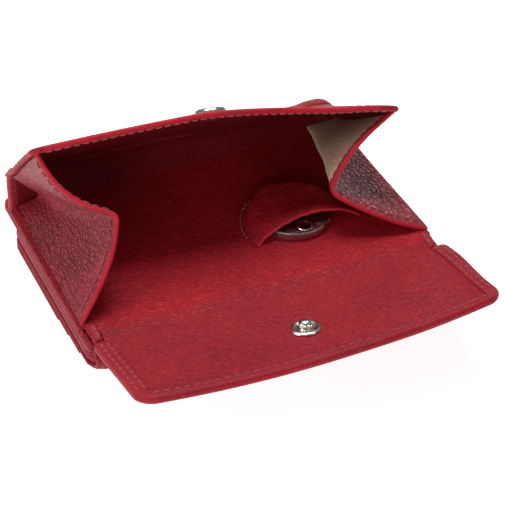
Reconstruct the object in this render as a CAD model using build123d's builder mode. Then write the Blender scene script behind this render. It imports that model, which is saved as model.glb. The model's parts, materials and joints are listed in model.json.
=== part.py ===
from build123d import *
from math import asin, cos, degrees, radians, sin, tan
import os

# Coin purse: a leather coin box with a gusseted lid and a snap flap, on a card section that opens like a book.
# Millimetres. +X is the width, +Y points to the rear, +Z is up. The purse is drawn lying open.
# The origin is the centre of the card section's underside, on the surface that the purse lies on.

# Driving dimensions
width = 105.0
ease = 0.1  # gap between a stiffener and the leather round it

card_depth = 65.0
card_corner = 5.0
pocket_ply = 0.8
pocket_lengths = {"rear": 38.3, "middle": 46.2, "front": 55.2}  # from the card section's rear edge
card_panel_ply = 1.4
card_board_ply = 1.6
card_cover_ply = 2.6
board_border = 3.5  # leather left round a stiffener

section_gap = 0.5  # between the card section and the coin section
base_ply = 1.5
base_board_ply = 1.1
floor_ply = 1.9
base_ledge = 5.9  # base behind the rear wall's inner face
base_corner = 4.5
spine_radius = 1.9
spine_gap = 0.2

box_depth = 56.1  # front fold to the rear wall's inner face
front_setback = 0.5  # front wall's crease behind the card section's front edge
wall_height = 10.0  # floor to lid hinge
wall_ply = 1.4
wall_lining_ply = 1.0
wall_side_border = 0.6
fold_radius = 1.0  # roll of leather between rear wall and lid
fold_gap = 0.3

front_wall_height = 7.5
front_wall_border = 0.5
front_ply = 0.9
front_lining_ply = 0.8
crease_gap = 0.3
under_gap = 0.2  # front wall above the base

flap_side = 35.0
flap_middle = 40.5
flap_corner = 5.0
flap_border = 0.25
flap_rise = 13.8  # degrees above the base, lying open

lid_side = 37.4
lid_middle = 40.5
lid_corner = 3.0
lid_overhang = 0.5
lid_ply = 1.2
lid_lining_ply = 1.0
lid_rise = 43.0  # degrees above the base, lying open
lid_closed_fall = 4.0  # degrees below level, closed

snap_x = -1.0
stud_from_crease = 23.4
stud_flange_radius = 4.0
stud_flange_ply = 0.4
stud_radius = 1.95
stud_length = 2.2
stud_neck = 0.25
socket_bore_ease = 0.75
socket_ring = 2.3
socket_height = 1.8
snap_running_gap = 1.25  # stud flange above the socket, closed
cap_border = 1.0  # cap past the stud's flange
cap_height = 1.1
rivet_flange = 0.5
rivet_ease = 0.1

gusset_ply = 0.55
gusset_inset = 1.2  # gusset hinge line inside the base's edge
gusset_lift = 0.75  # gusset hinge line above the floor
gusset_start = 0.3
gusset_side_front = 1.7  # start of the sewn edge, behind the front fold
gusset_rear_gap = 3.1  # end of the sewn edge, before the rear wall
crease_clear = 1.4  # upper gusset's edge short of the lower one's
gusset_under_lid = 0.9
# Where each gusset's crease meets its front edge: in from the side, back from the front fold, up from the floor.
crease_front = {"left": (17.5, 15.4, 20.8), "right": (25.5, 12.0, 12.0)}
# The same for its rear end, in from the side and up from the floor.
crease_rear = {"left": (4.6, 5.1), "right": (7.0, 3.2)}

chip_radius = 11.62
chip_thick = 2.2
chip_x = 19.5
chip_hole = 1.9
chip_hole_from_rim = 3.6
chip_bevel = 0.25
chip_from_pocket = -1.0  # chip left of the pocket's middle
pocket_from_front = 17.5  # centre of the chip pocket's arch, behind the front fold
pocket_mouth_depth = 5.5
pocket_side_ease = 4.28
pocket_rear_ease = 0.88
pocket_wall = 0.6
pocket_ease = 0.15

# Levels and lines worked out from them
card_panel_z = pocket_ply * len(pocket_lengths)
card_cover_z = card_panel_z + card_panel_ply
card_top = card_cover_z + card_cover_ply + card_board_ply
base_z = card_top + section_gap
board_z = base_z + base_ply
rim_z = board_z + base_board_ply
floor_z = rim_z + floor_ply
front_edge = front_setback - card_depth / 2
box_front = front_edge + front_wall_height
box_rear = box_front + box_depth
base_rear = box_rear + base_ledge
spine_y = -card_depth / 2 - spine_gap - spine_radius
spine_z = card_top + section_gap / 2
hinge_y = box_rear + wall_lining_ply + wall_ply / 4
hinge_z = floor_z + wall_height
wall_top = hinge_z - fold_radius - fold_gap
flap_ply_sum = front_ply + front_lining_ply
front_wall_width = width - 2 * front_wall_border
flap_width = width - 2 * flap_border
lid_width = width + 2 * lid_overhang
socket_bore = stud_radius + socket_bore_ease
socket_radius = socket_bore + socket_ring
cap_radius = stud_flange_radius + cap_border
pocket_radius = chip_radius + pocket_side_ease + pocket_wall
pocket_x = chip_x - chip_from_pocket
pocket_y = box_front + pocket_from_front
pocket_mouth = pocket_y - pocket_mouth_depth
chip_y = pocket_y + pocket_radius - pocket_wall - pocket_rear_ease - chip_radius

# Closed, the flap's inner face passes through its crease and stands off the lid by the snap's height.
snap_stand_off = socket_height + stud_flange_ply + snap_running_gap
lid_fall = radians(lid_closed_fall)
crease_z = floor_z + front_wall_height
stud_reach = box_front + stud_from_crease
lid_face_at_stud = hinge_z - (hinge_y - stud_reach) * tan(lid_fall) + lid_ply / cos(lid_fall)
flap_closed_rise = asin((lid_face_at_stud + snap_stand_off - crease_z) / stud_from_crease)
stud_tip = stud_flange_ply + stud_length
tip_y = box_front + stud_from_crease * cos(flap_closed_rise) + stud_tip * sin(flap_closed_rise)
tip_z = crease_z + stud_from_crease * sin(flap_closed_rise) - stud_tip * cos(flap_closed_rise)
socket_from_hinge = (hinge_y - tip_y) * cos(lid_fall) + (hinge_z - tip_z) * sin(lid_fall)


def sloped(y, z, rise, normal_offset=0.0):
    """Plane through a fold line along X, for a panel that runs to the front and rises; its local -Y is the panel."""
    normal = Vector(0, sin(radians(rise)), cos(radians(rise)))
    return Plane(origin=Vector(0, y, z) + normal * normal_offset, x_dir=(1, 0, 0), z_dir=normal)


def write(part, name):
    part.label = name
    export_step(part, f"parts/{name}.step")


os.makedirs("parts", exist_ok=True)

# Card section: three stepped pocket plies, the panel that they are sewn to, a stiffener and the cover
for level, (place, length) in enumerate(pocket_lengths.items()):
    with BuildPart() as pocket:
        with BuildSketch(Plane.XY.offset(level * pocket_ply)):
            with Locations((0, (card_depth - length) / 2)):
                Rectangle(width, length)
            fillet(vertices().group_by(Axis.Y)[-1], card_corner)
        extrude(amount=pocket_ply)
    write(pocket.part, f"card_pocket_{place}")

with BuildPart() as card_panel:
    with BuildSketch(Plane.XY.offset(card_panel_z)):
        RectangleRounded(width, card_depth, card_corner)
    extrude(amount=card_panel_ply)
write(card_panel.part, "card_panel")

with BuildPart() as card_board:
    with BuildSketch(Plane.XY.offset(card_cover_z)):
        Rectangle(width - 2 * (board_border + ease), card_depth - 2 * (board_border + ease))
    extrude(amount=card_board_ply)
write(card_board.part, "card_board")

with BuildPart() as card_cover:
    with BuildSketch(Plane.XY.offset(card_cover_z)):
        RectangleRounded(width, card_depth, card_corner)
    extrude(amount=card_board_ply + card_cover_ply)
    with BuildSketch(Plane.XY.offset(card_cover_z)):
        Rectangle(width - 2 * board_border, card_depth - 2 * board_border)
    extrude(amount=card_board_ply, mode=Mode.SUBTRACT)
    fillet(card_cover.edges().group_by(Axis.Z)[-1], card_cover_ply / 4)
write(card_cover.part, "card_cover")

with BuildPart() as spine:
    with BuildSketch(Plane.YZ.offset(-front_wall_width / 2)):
        with Locations((spine_y, spine_z)):
            Circle(spine_radius)
    extrude(amount=front_wall_width)
    fillet(spine.edges().filter_by(GeomType.CIRCLE), spine_radius / 3)
write(spine.part, "spine")

# Coin section: base, stiffener and floor
with BuildPart() as base_outer:
    with BuildSketch(Plane.XY.offset(base_z)):
        with Locations((0, (front_edge + base_rear) / 2)):
            Rectangle(width, base_rear - front_edge)
        fillet(vertices().group_by(Axis.Y)[-1], base_corner)
    extrude(amount=rim_z - base_z)
    board_front = box_front + board_border
    board_middle = (board_front + box_rear) / 2
    with BuildSketch(Plane.XY.offset(board_z)):
        with Locations((0, board_middle)):
            Rectangle(width - 2 * board_border, box_rear - board_front)
    extrude(amount=base_board_ply, mode=Mode.SUBTRACT)
write(base_outer.part, "base_outer")

with BuildPart() as base_board:
    with BuildSketch(Plane.XY.offset(board_z)):
        with Locations((0, board_middle)):
            Rectangle(width - 2 * (board_border + ease), box_rear - board_front - 2 * ease)
    extrude(amount=base_board_ply)
write(base_board.part, "base_board")

with BuildPart() as floor_lining:
    with BuildSketch(Plane.XY.offset(rim_z)):
        with Locations((0, (box_front + box_rear) / 2)):
            Rectangle(width - 2 * wall_side_border, box_rear - box_front - 2 * ease)
    extrude(amount=floor_ply)
write(floor_lining.part, "floor_lining")

with BuildPart() as rear_wall_lining:
    with BuildSketch(Plane.XY.offset(rim_z)):
        with Locations((0, box_rear + wall_lining_ply / 2)):
            Rectangle(width - 2 * wall_side_border, wall_lining_ply)
    extrude(amount=wall_top - rim_z)
write(rear_wall_lining.part, "rear_wall_lining")

with BuildPart() as rear_wall:
    with BuildSketch(Plane.XY.offset(rim_z)):
        with Locations((0, box_rear + wall_lining_ply + wall_ply / 2)):
            Rectangle(width - 2 * wall_side_border, wall_ply)
    extrude(amount=wall_top - rim_z)
write(rear_wall.part, "rear_wall")

with BuildPart() as rear_fold:
    with BuildSketch(Plane.YZ.offset(wall_side_border - width / 2)):
        with Locations((hinge_y, hinge_z)):
            Circle(fold_radius)
    extrude(amount=width - 2 * wall_side_border)
write(rear_fold.part, "rear_fold")

# Chip pocket: an arch of leather over the chip, open to the front
chip_room = chip_thick + pocket_ease
with BuildPart() as chip_pocket:
    for inset, height, how in ((0.0, chip_room + pocket_wall, Mode.ADD), (pocket_wall, chip_room, Mode.SUBTRACT)):
        arch = pocket_radius - inset
        mouth = pocket_mouth - inset
        with BuildSketch(Plane.XY.offset(floor_z)):
            with BuildLine():
                Polyline((pocket_x - arch, pocket_y), (pocket_x - arch, mouth), (pocket_x + arch, mouth),
                         (pocket_x + arch, pocket_y))
                ThreePointArc((pocket_x + arch, pocket_y), (pocket_x, pocket_y + arch), (pocket_x - arch, pocket_y))
            make_face()
        extrude(amount=height, mode=how)
write(chip_pocket.part, "chip_pocket")

with BuildPart() as trolley_chip:
    with BuildSketch(Plane.XY.offset(floor_z)):
        with Locations((chip_x, chip_y)):
            Circle(chip_radius)
        with Locations((chip_x, chip_y - chip_radius + chip_hole_from_rim)):
            Circle(chip_hole, mode=Mode.SUBTRACT)
    extrude(amount=chip_thick)
    chamfer(trolley_chip.edges().filter_by(GeomType.CIRCLE).filter_by(lambda e: e.radius > chip_hole + 1), chip_bevel)
write(trolley_chip.part, "trolley_chip")

# Front wall: outer leather and lining, folding at the floor's front edge
for name, low, high in (
    ("front_wall_lining", floor_z - front_lining_ply, floor_z),
    ("front_wall_outer", rim_z + under_gap, floor_z - front_lining_ply),
):
    with BuildPart() as front_wall:
        with BuildSketch(Plane.XY.offset(low)):
            with Locations((0, box_front - front_wall_height / 2 - crease_gap / 4)):
                Rectangle(front_wall_width, front_wall_height - 1.5 * crease_gap)
        extrude(amount=high - low)
    write(front_wall.part, name)

# Flap: outer leather and lining with an arched free edge, and the snap's stud and cap
flap_plane = sloped(front_edge, floor_z, flap_rise)
stud_spot = (snap_x, -stud_from_crease)


def panel_outline(across, start, side, middle, corner):
    """Sketch of a panel with an arched free edge, rounded at its two free corners; its fold is at local Y = 0."""
    half = across / 2
    with BuildSketch() as outline:
        with BuildLine():
            Polyline((-half, -side), (-half, -start), (half, -start), (half, -side))
            ThreePointArc((half, -side), (0, -middle), (-half, -side))
        make_face()
        fillet(outline.vertices().group_by(Axis.Y)[0], corner)
    return outline.sketch


flap_start = 2 * crease_gap
flap_shape = panel_outline(flap_width, flap_start, flap_side, flap_middle, flap_corner)
for name, top, thick in (("flap_lining", 0.0, front_lining_ply), ("flap_outer", -front_lining_ply, front_ply)):
    with BuildPart() as flap:
        with BuildSketch(flap_plane.offset(top)):
            add(flap_shape)
            with Locations(stud_spot):
                Circle(stud_radius + rivet_ease, mode=Mode.SUBTRACT)
        extrude(amount=-thick)
    write(flap.part, name)

with BuildPart() as snap_stud:
    with BuildSketch(flap_plane):
        with Locations(stud_spot):
            Circle(stud_flange_radius)
    extrude(amount=stud_flange_ply)
    with BuildSketch(flap_plane.offset(stud_flange_ply)):
        with Locations(stud_spot):
            Circle(stud_radius - stud_neck)
    extrude(amount=stud_length)
    with BuildSketch(flap_plane.offset(stud_flange_ply + stud_length / 2)):
        with Locations(stud_spot):
            Circle(stud_radius)
    extrude(amount=stud_length / 2)
    fillet(snap_stud.edges().filter_by(GeomType.CIRCLE).sort_by(Axis.Z)[-1], stud_radius / 4)
write(snap_stud.part, "snap_stud")

with BuildPart() as snap_cap:
    with BuildSketch(flap_plane.offset(-flap_ply_sum)):
        with Locations(stud_spot):
            Circle(cap_radius)
    extrude(amount=-cap_height)
    fillet(snap_cap.edges().filter_by(GeomType.CIRCLE).sort_by(Axis.Z)[0], cap_height * 0.8)
    with BuildSketch(flap_plane.offset(-flap_ply_sum)):
        with Locations(stud_spot):
            Circle(stud_radius)
    extrude(amount=flap_ply_sum)
write(snap_cap.part, "snap_cap")

# Lid: outer leather and lining from the rear fold, and the snap's socket with its rivet
lid_plane = sloped(hinge_y, hinge_z, lid_rise)
lid_start = fold_radius + fold_gap
socket_spot = (snap_x, -socket_from_hinge)
lid_shape = panel_outline(lid_width, lid_start, lid_side, lid_middle, lid_corner)
for name, thick in (("lid_lining", -lid_lining_ply), ("lid_outer", lid_ply)):
    with BuildPart() as lid:
        with BuildSketch(lid_plane):
            add(lid_shape)
            with Locations(socket_spot):
                Circle(stud_radius + rivet_ease, mode=Mode.SUBTRACT)
        extrude(amount=thick)
    write(lid.part, name)

with BuildPart() as snap_socket:
    with BuildSketch(lid_plane.offset(lid_ply)):
        with Locations(socket_spot):
            Circle(socket_radius)
            Circle(socket_bore, mode=Mode.SUBTRACT)
    extrude(amount=socket_height)
    fillet(snap_socket.edges().filter_by(GeomType.CIRCLE).sort_by(Axis.Z)[-1], socket_height / 4)
write(snap_socket.part, "snap_socket")

with BuildPart() as socket_rivet:
    with BuildSketch(lid_plane.offset(-lid_lining_ply)):
        with Locations(socket_spot):
            Circle(stud_flange_radius)
    extrude(amount=-rivet_flange)
    with BuildSketch(lid_plane.offset(-lid_lining_ply)):
        with Locations(socket_spot):
            Circle(stud_radius)
    extrude(amount=lid_lining_ply + lid_ply)
write(socket_rivet.part, "socket_rivet")

# Gussets: on each side a lower half hinged at the base and an upper half sewn to the lid, creased inwards
hinge_x = width / 2 - gusset_inset
gusset_z = floor_z + gusset_lift
for side, sign in (("left", -1), ("right", 1)):
    front_in, front_y, front_z = crease_front[side]
    rear_in, rear_z = crease_rear[side]
    front_x = width / 2 - front_in
    rear_x = width / 2 - rear_in
    rear_y = box_depth - gusset_rear_gap
    reach = Vector(hinge_x - front_x, 0, front_z - gusset_lift).length
    rise_x = (hinge_x - front_x) / reach
    rise_z = (front_z - gusset_lift) / reach
    lower_plane = Plane(origin=(sign * hinge_x, box_front, gusset_z), x_dir=(-sign * rise_x, 0, rise_z),
                        z_dir=(sign * rise_z, 0, rise_x))
    lower_outline = ((gusset_start, gusset_side_front), (reach, front_y), ((hinge_x - rear_x) / rise_x, rear_y),
                     (gusset_start, rear_y))
    for name, thick in (("lower_gusset", gusset_ply), ("lower_gusset_lining", -gusset_ply)):
        with BuildPart() as lower:
            with BuildSketch(lower_plane):
                with BuildLine():
                    Polyline([(along, -sign * back) for along, back in lower_outline], close=True)
                make_face()
            extrude(amount=thick)
        write(lower.part, f"{side}_{name}")

    under = -lid_lining_ply - gusset_under_lid
    seam_rear = lid_plane.from_local_coords((sign * hinge_x, -2 * lid_start, under))
    seam_front = lid_plane.from_local_coords((sign * hinge_x, -(lid_side - lid_corner / 2), under))
    seam = (seam_front - seam_rear).normalized()
    to_front = Vector(sign * front_x, box_front + front_y, floor_z + front_z) - seam_rear
    to_rear = Vector(sign * rear_x, box_front + rear_y, floor_z + rear_z) - seam_rear
    upper_plane = Plane(origin=seam_rear, x_dir=seam, z_dir=seam.cross(to_front))
    outward = 1 if upper_plane.z_dir.X * sign > 0 else -1
    upper_outline = [(0, 0), ((seam_front - seam_rear).length, 0)]
    upper_outline.append((to_front.dot(seam), to_front.dot(upper_plane.y_dir) - crease_clear))
    upper_outline.append((max(to_rear.dot(seam), 0) + crease_clear, crease_clear))
    for name, thick in (("upper_gusset", outward * gusset_ply), ("upper_gusset_lining", -outward * gusset_ply)):
        with BuildPart() as upper:
            with BuildSketch(upper_plane):
                with BuildLine():
                    Polyline(upper_outline, close=True)
                make_face()
            extrude(amount=thick)
        write(upper.part, f"{side}_{name}")

    lower_angle = degrees(asin(rise_z))
    print(f"{side} gusset hinge x={sign * hinge_x:.3f} z={gusset_z:.3f} rise={lower_angle:.3f}")

print(f"spine y={spine_y:.3f} z={spine_z:.3f}; lid hinge y={hinge_y:.3f} z={hinge_z:.3f}")
print(f"front fold y={box_front:.3f} z={floor_z:.3f}; flap crease y={front_edge:.3f} z={floor_z:.3f}")
print(f"flap closed rise={degrees(flap_closed_rise):.3f}; socket from hinge={socket_from_hinge:.3f}")
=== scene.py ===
import json
import math

import bmesh
import bpy
from mathutils import Euler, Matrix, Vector, noise


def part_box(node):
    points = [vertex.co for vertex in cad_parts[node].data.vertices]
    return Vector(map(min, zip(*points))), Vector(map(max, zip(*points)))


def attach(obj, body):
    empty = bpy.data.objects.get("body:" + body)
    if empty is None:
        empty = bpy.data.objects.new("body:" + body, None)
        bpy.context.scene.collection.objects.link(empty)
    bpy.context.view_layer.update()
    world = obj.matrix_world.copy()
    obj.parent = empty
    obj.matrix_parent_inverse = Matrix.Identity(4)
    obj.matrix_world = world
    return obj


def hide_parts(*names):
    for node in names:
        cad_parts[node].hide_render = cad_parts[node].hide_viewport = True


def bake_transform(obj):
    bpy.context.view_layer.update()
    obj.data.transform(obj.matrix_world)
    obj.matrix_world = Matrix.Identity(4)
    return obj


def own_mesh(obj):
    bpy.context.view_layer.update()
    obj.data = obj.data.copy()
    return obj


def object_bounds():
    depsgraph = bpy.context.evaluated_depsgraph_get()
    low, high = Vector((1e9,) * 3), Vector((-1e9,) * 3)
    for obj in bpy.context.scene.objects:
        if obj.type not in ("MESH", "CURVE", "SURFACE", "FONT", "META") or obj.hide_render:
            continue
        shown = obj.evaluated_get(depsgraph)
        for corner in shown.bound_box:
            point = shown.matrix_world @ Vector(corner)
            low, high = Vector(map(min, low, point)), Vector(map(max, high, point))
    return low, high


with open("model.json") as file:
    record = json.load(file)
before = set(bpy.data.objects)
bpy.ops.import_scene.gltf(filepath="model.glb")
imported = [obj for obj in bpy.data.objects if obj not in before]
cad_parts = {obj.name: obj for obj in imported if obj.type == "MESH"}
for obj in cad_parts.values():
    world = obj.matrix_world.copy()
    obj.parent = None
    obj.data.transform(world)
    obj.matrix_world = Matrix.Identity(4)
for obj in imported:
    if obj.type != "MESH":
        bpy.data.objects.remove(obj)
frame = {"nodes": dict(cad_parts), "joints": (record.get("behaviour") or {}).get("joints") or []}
cad_low, cad_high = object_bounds()

# A leather coin purse lying open: a coin box with a gusseted lid and a snap flap, on a card section.
# Metres, in the part's frame.
mm = 0.001
joints = {joint["name"]: joint for joint in frame["joints"]}
hinge = Vector(joints["lid_hinge"]["pos_m"])
front_fold = Vector(joints["front_wall_fold"]["pos_m"])
flap_crease = Vector(joints["flap_fold"]["pos_m"])
spine_line = Vector(joints["wallet_fold"]["pos_m"])
floor_z = front_fold.z
box_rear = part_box("rear_wall_lining")[0].y
half_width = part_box("base_outer")[1].x
snap_x = (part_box("snap_socket")[0].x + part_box("snap_socket")[1].x) / 2
lid_length = 40 * mm
lid_half_width = 53.3 * mm
flap_half_width = 52.3 * mm


# Small sums
def clamp(value, low=0.0, high=1.0):
    return min(max(value, low), high)


def ease(value, start, end):
    """0 before start, 1 after end, smooth between them."""
    t = clamp((value - start) / (end - start))
    return t * t * (3 - 2 * t)


def mix(a, b, t):
    return a * (1 - t) + b * t


def wobble(x, y, size, height, seed=0.0):
    """Slow unevenness of hand-made leather."""
    return height * noise.noise(Vector((x / size, y / size, seed)))


# Materials
class Value:
    """A number in a shader. Sums on it add Math nodes."""

    def __init__(self, finish, socket):
        self.finish = finish
        self.socket = socket

    def sum(self, operation, first, second):
        return self.finish.node("ShaderNodeMath", {"operation": operation}, {0: first, 1: second})

    def __add__(self, other):
        return self.sum("ADD", self, other)

    def __radd__(self, other):
        return self.sum("ADD", other, self)

    def __sub__(self, other):
        return self.sum("SUBTRACT", self, other)

    def __rsub__(self, other):
        return self.sum("SUBTRACT", other, self)

    def __mul__(self, other):
        return self.sum("MULTIPLY", self, other)

    def __rmul__(self, other):
        return self.sum("MULTIPLY", other, self)


class Finish:
    """A material with one Principled shader."""

    def __init__(self, name, **constants):
        self.material = bpy.data.materials.new(name)
        self.material.use_nodes = True
        self.tree = self.material.node_tree
        self.shader = self.tree.nodes["Principled BSDF"]
        for socket, value in constants.items():
            self.shader.inputs[socket.replace("_", " ").title()].default_value = value

    def set(self, socket, value):
        if isinstance(value, Value):
            self.tree.links.new(value.socket, socket)
        else:
            socket.default_value = value

    def node(self, kind, settings, sockets, output=0):
        made = self.tree.nodes.new(kind)
        for setting, value in settings.items():
            setattr(made, setting, value)
        for socket, value in sockets.items():
            self.set(made.inputs[socket], value)
        return Value(self, made.outputs[output])

    def place(self, stretch=(1, 1, 1), turn=0.0):
        """Where a point is on the purse, in metres, turned about Z and scaled along each axis."""
        where = self.node("ShaderNodeTexCoord", {}, {}, "Object")
        if turn:
            about_z = {"rotation_type": "Z_AXIS"}
            where = self.node("ShaderNodeVectorRotate", about_z, {"Vector": where, "Angle": turn})
        return self.node("ShaderNodeVectorMath", {"operation": "MULTIPLY"}, {0: where, 1: stretch})

    def clouds(self, where, scale, detail=3.0, output=0):
        sockets = {"Vector": where, "Scale": scale, "Detail": detail}
        return self.node("ShaderNodeTexNoise", {}, sockets, output)

    def warped(self, where, scale, amount):
        """Places pushed about by clouds, so that cells aren't regular."""
        push = self.clouds(where, scale, 2.0, 1)
        push = self.node("ShaderNodeVectorMath", {"operation": "SUBTRACT"}, {0: push, 1: (0.5, 0.5, 0.5)})
        push = self.node("ShaderNodeVectorMath", {"operation": "SCALE"}, {0: push, "Scale": amount})
        return self.node("ShaderNodeVectorMath", {"operation": "ADD"}, {0: where, 1: push})

    def cells(self, where, scale, feature="DISTANCE_TO_EDGE"):
        return self.node("ShaderNodeTexVoronoi", {"feature": feature}, {"Vector": where, "Scale": scale})

    def band(self, value, low, high):
        return self.node("ShaderNodeMapRange", {"interpolation_type": "SMOOTHSTEP"},
                         {"Value": value, "From Min": low, "From Max": high})

    def blend(self, share, first, second):
        return self.node("ShaderNodeMix", {"data_type": "RGBA"}, {0: share, 6: first, 7: second}, 2)

    def bump(self, height, depth):
        bumped = self.node("ShaderNodeBump", {}, {"Height": height, "Distance": depth, "Strength": 1.0})
        self.set(self.shader.inputs["Normal"], bumped)

    def paint(self, **linked):
        for socket, value in linked.items():
            self.set(self.shader.inputs[socket.replace("_", " ").title()], value)


def leather(name, lit, deep, grain, relief, stretch=(1, 1, 1), sheen=0.0, roughness=0.45, crease=0.45,
            painted_highlight=0.2, turn=0.0, gloss=0.16):
    """Leather with plump cells of grain parted by fine creases, mottled dye, a soft shine and painted
    highlights on the cell tops.
    """
    skin = Finish(name, sheen_weight=sheen, sheen_roughness=0.45, sheen_tint=(1, 0.72, 0.78, 1))
    skin.shader.inputs["Specular IOR Level"].default_value = gloss
    where = skin.place(stretch, turn)
    pushed = skin.warped(where, grain * 0.45, 0.9 / grain)
    parted = skin.band(skin.cells(pushed, grain), 0.0, 0.26)
    dome = 1 - skin.cells(pushed, grain, "SMOOTH_F1")
    small = skin.band(skin.cells(skin.warped(where, grain * 2, 0.4 / grain), grain * 2.1), 0.0, 0.30)
    fine = skin.clouds(where, grain * 4.5, 4.0)
    mottle = skin.clouds(skin.place(), 60.0, 5.0)
    patches = skin.band(skin.clouds(skin.place(), 240.0, 5.0), 0.48, 0.75)
    share = parted * crease + mottle * 0.7 + fine * 0.25 + (0.42 - 0.9 * crease)
    colour = skin.blend(share, deep, lit)
    # Painted highlight: a lighter, pinker colour laid on the tops of the grain cells in patches, standing
    # for the light the pebbles catch.
    highlight_colour = tuple(min(c * 1.5 + 0.008, 1.0) for c in lit[:3]) + (1.0,)
    colour = skin.blend(patches * dome * painted_highlight, colour, highlight_colour)
    uneven = roughness + 0.15 * (1 - parted) + 0.16 * (fine - 0.5) + 0.1 * (mottle - 0.5)
    skin.paint(base_color=colour, roughness=uneven)
    skin.bump(parted * 0.40 + dome * 0.30 + small * 0.20 + fine * 0.20, relief)
    return skin.material


def suede_lining():
    """Beige lining with a short nap and a fine weave under it."""
    cloth = Finish("beige_lining", sheen_weight=0.10, sheen_roughness=0.5)
    where = cloth.place()
    nap = cloth.clouds(where, 3200.0, 3.0)
    patches = cloth.clouds(where, 120.0, 4.0)
    weave = cloth.cells(where, 2600.0, "F1")
    speckle = cloth.band(cloth.clouds(where, 1500.0, 4.0), 0.40, 0.62)
    colour = cloth.blend(nap * 0.5 + patches * 0.4 + speckle * 0.35 - 0.15, (0.42, 0.235, 0.12, 1),
                         (0.96, 0.70, 0.47, 1))
    cloth.paint(base_color=colour, roughness=0.78 + 0.2 * (nap - 0.5))
    cloth.bump(nap * 0.6 + weave * 0.5, 0.22 * mm)
    return cloth.material


def sewing_thread(name, light, dark):
    """Twisted thread."""
    yarn = Finish(name, sheen_weight=0.2)
    where = yarn.place()
    twist = yarn.node("ShaderNodeTexWave", {"bands_direction": "DIAGONAL"},
                      {"Vector": where, "Scale": 900.0, "Distortion": 2.0})
    fuzz = yarn.clouds(where, 4000.0)
    yarn.paint(base_color=yarn.blend(twist * 0.6 + fuzz * 0.4, dark, light), roughness=0.5 + 0.2 * fuzz)
    yarn.bump(twist * 0.6 + fuzz * 0.4, 0.05 * mm)
    return yarn.material


def bright_metal(name, colour, dull, roughness, scratch_stretch=(1, 1, 1)):
    """Plated or polished metal with fine scratches and a little tarnish."""
    metal = Finish(name, metallic=1.0)
    where = metal.place(scratch_stretch)
    scratches = metal.clouds(where, 1500.0, 5.0)
    tarnish = metal.band(metal.clouds(metal.place(), 420.0, 4.0), 0.45, 0.75)
    metal.paint(base_color=metal.blend(tarnish * 0.7, colour, dull), roughness=roughness + 0.14 * tarnish
                + 0.10 * (scratches - 0.5))
    metal.bump(scratches, 0.006 * mm)
    return metal.material


def stiffener_board():
    """Grey fibre board of the hidden stiffeners."""
    board = Finish("fibre_board")
    fibres = board.clouds(board.place((1, 6, 1)), 900.0, 4.0)
    board.paint(base_color=board.blend(fibres, (0.16, 0.14, 0.12, 1), (0.36, 0.33, 0.28, 1)),
                roughness=0.8 + 0.1 * fibres)
    board.bump(fibres, 0.05 * mm)
    return board.material


cherry = (0.31, 0.008, 0.018, 1)
cherry_deep = (0.075, 0.001, 0.004, 1)
finish = {
    "floor": leather("floor_leather", (0.36, 0.006, 0.015, 1), (0.12, 0.001, 0.004, 1), 1350.0, 0.30 * mm,
                     (0.24, 1, 1)),
    "flap": leather("flap_lining_leather", (0.32, 0.008, 0.018, 1), (0.11, 0.001, 0.004, 1), 1250.0,
                    0.28 * mm, (0.30, 1, 1), 0.02, 0.46),
    "outer": leather("pebble_leather", cherry, cherry_deep, 1000.0, 0.20 * mm, (1, 1, 1), 0.03, 0.44),
    "border": leather("turned_border_leather", cherry, cherry_deep, 1350.0, 0.11 * mm, (1, 1, 1), 0.03, 0.42,
                      0.3),
    "gusset": leather("gusset_leather", (0.28, 0.011, 0.025, 1), (0.07, 0.001, 0.005, 1), 850.0, 0.34 * mm,
                      (1, 0.62, 1), 0.04, 0.40, 0.6, 0.35, gloss=0.28),
    # Painted light: the same leather as the gusset, given a lighter cell colour and more painted highlight
    # for the light on the right lower gusset's pebbles.
    "folded_gusset": leather("folded_gusset_lit_leather", (0.36, 0.013, 0.030, 1), (0.07, 0.002, 0.006, 1),
                             640.0, 0.50 * mm, (1, 0.5, 1), 0.04, 0.38, 0.75, 0.4, math.radians(45), 0.30),
    # Painted shade: a dark copy of the red leather for the insides of the lid and the rear wall, which lie
    # in shadow.
    "smooth": leather("smooth_leather", (0.12, 0.001, 0.005, 1), (0.05, 0.001, 0.002, 1), 1900.0, 0.05 * mm,
                      (0.6, 1, 1), 0.0, 0.55, 0.2),
    # Painted highlight: the rolled rims, edges and lips are the cherry leather made lighter, standing for
    # the light their rounded edges catch.
    "rim": leather("rim_highlight_leather", (0.42, 0.012, 0.025, 1), (0.20, 0.003, 0.009, 1), 1500.0, 0.07 * mm,
                   (1, 1, 1), 0.03, 0.42, 0.25),
    "edge": leather("cut_edge_leather", (0.52, 0.12, 0.13, 1), (0.28, 0.03, 0.04, 1), 2400.0, 0.05 * mm,
                    (1, 1, 1), 0.1, 0.45, 0.25),
    "lining": suede_lining(),
    "thread": sewing_thread("cherry_thread", (0.34, 0.020, 0.028, 1), (0.12, 0.003, 0.007, 1)),
    "pale_thread": sewing_thread("pale_thread", (0.50, 0.20, 0.16, 1), (0.22, 0.03, 0.03, 1)),
    "nickel": bright_metal("nickel", (0.86, 0.83, 0.76, 1), (0.55, 0.51, 0.44, 1), 0.20),
    "steel": bright_metal("chip_steel", (0.50, 0.47, 0.45, 1), (0.26, 0.23, 0.21, 1), 0.14, (1, 5, 1)),
    "board": stiffener_board(),
}


# Making pieces
def piece(name, mesh, material, sharp=50):
    """An object from a bmesh, closed and facing out, with its material."""
    bmesh.ops.remove_doubles(mesh, verts=mesh.verts, dist=0.002 * mm)
    bmesh.ops.dissolve_degenerate(mesh, edges=mesh.edges, dist=0.001 * mm)
    bmesh.ops.recalc_face_normals(mesh, faces=mesh.faces)
    data = bpy.data.meshes.new(name)
    mesh.to_mesh(data)
    mesh.free()
    data.shade_smooth()
    data.set_sharp_from_angle(angle=math.radians(sharp))
    made = bpy.data.objects.new(name, data)
    bpy.context.scene.collection.objects.link(made)
    data.materials.append(finish[material])
    return made


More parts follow.
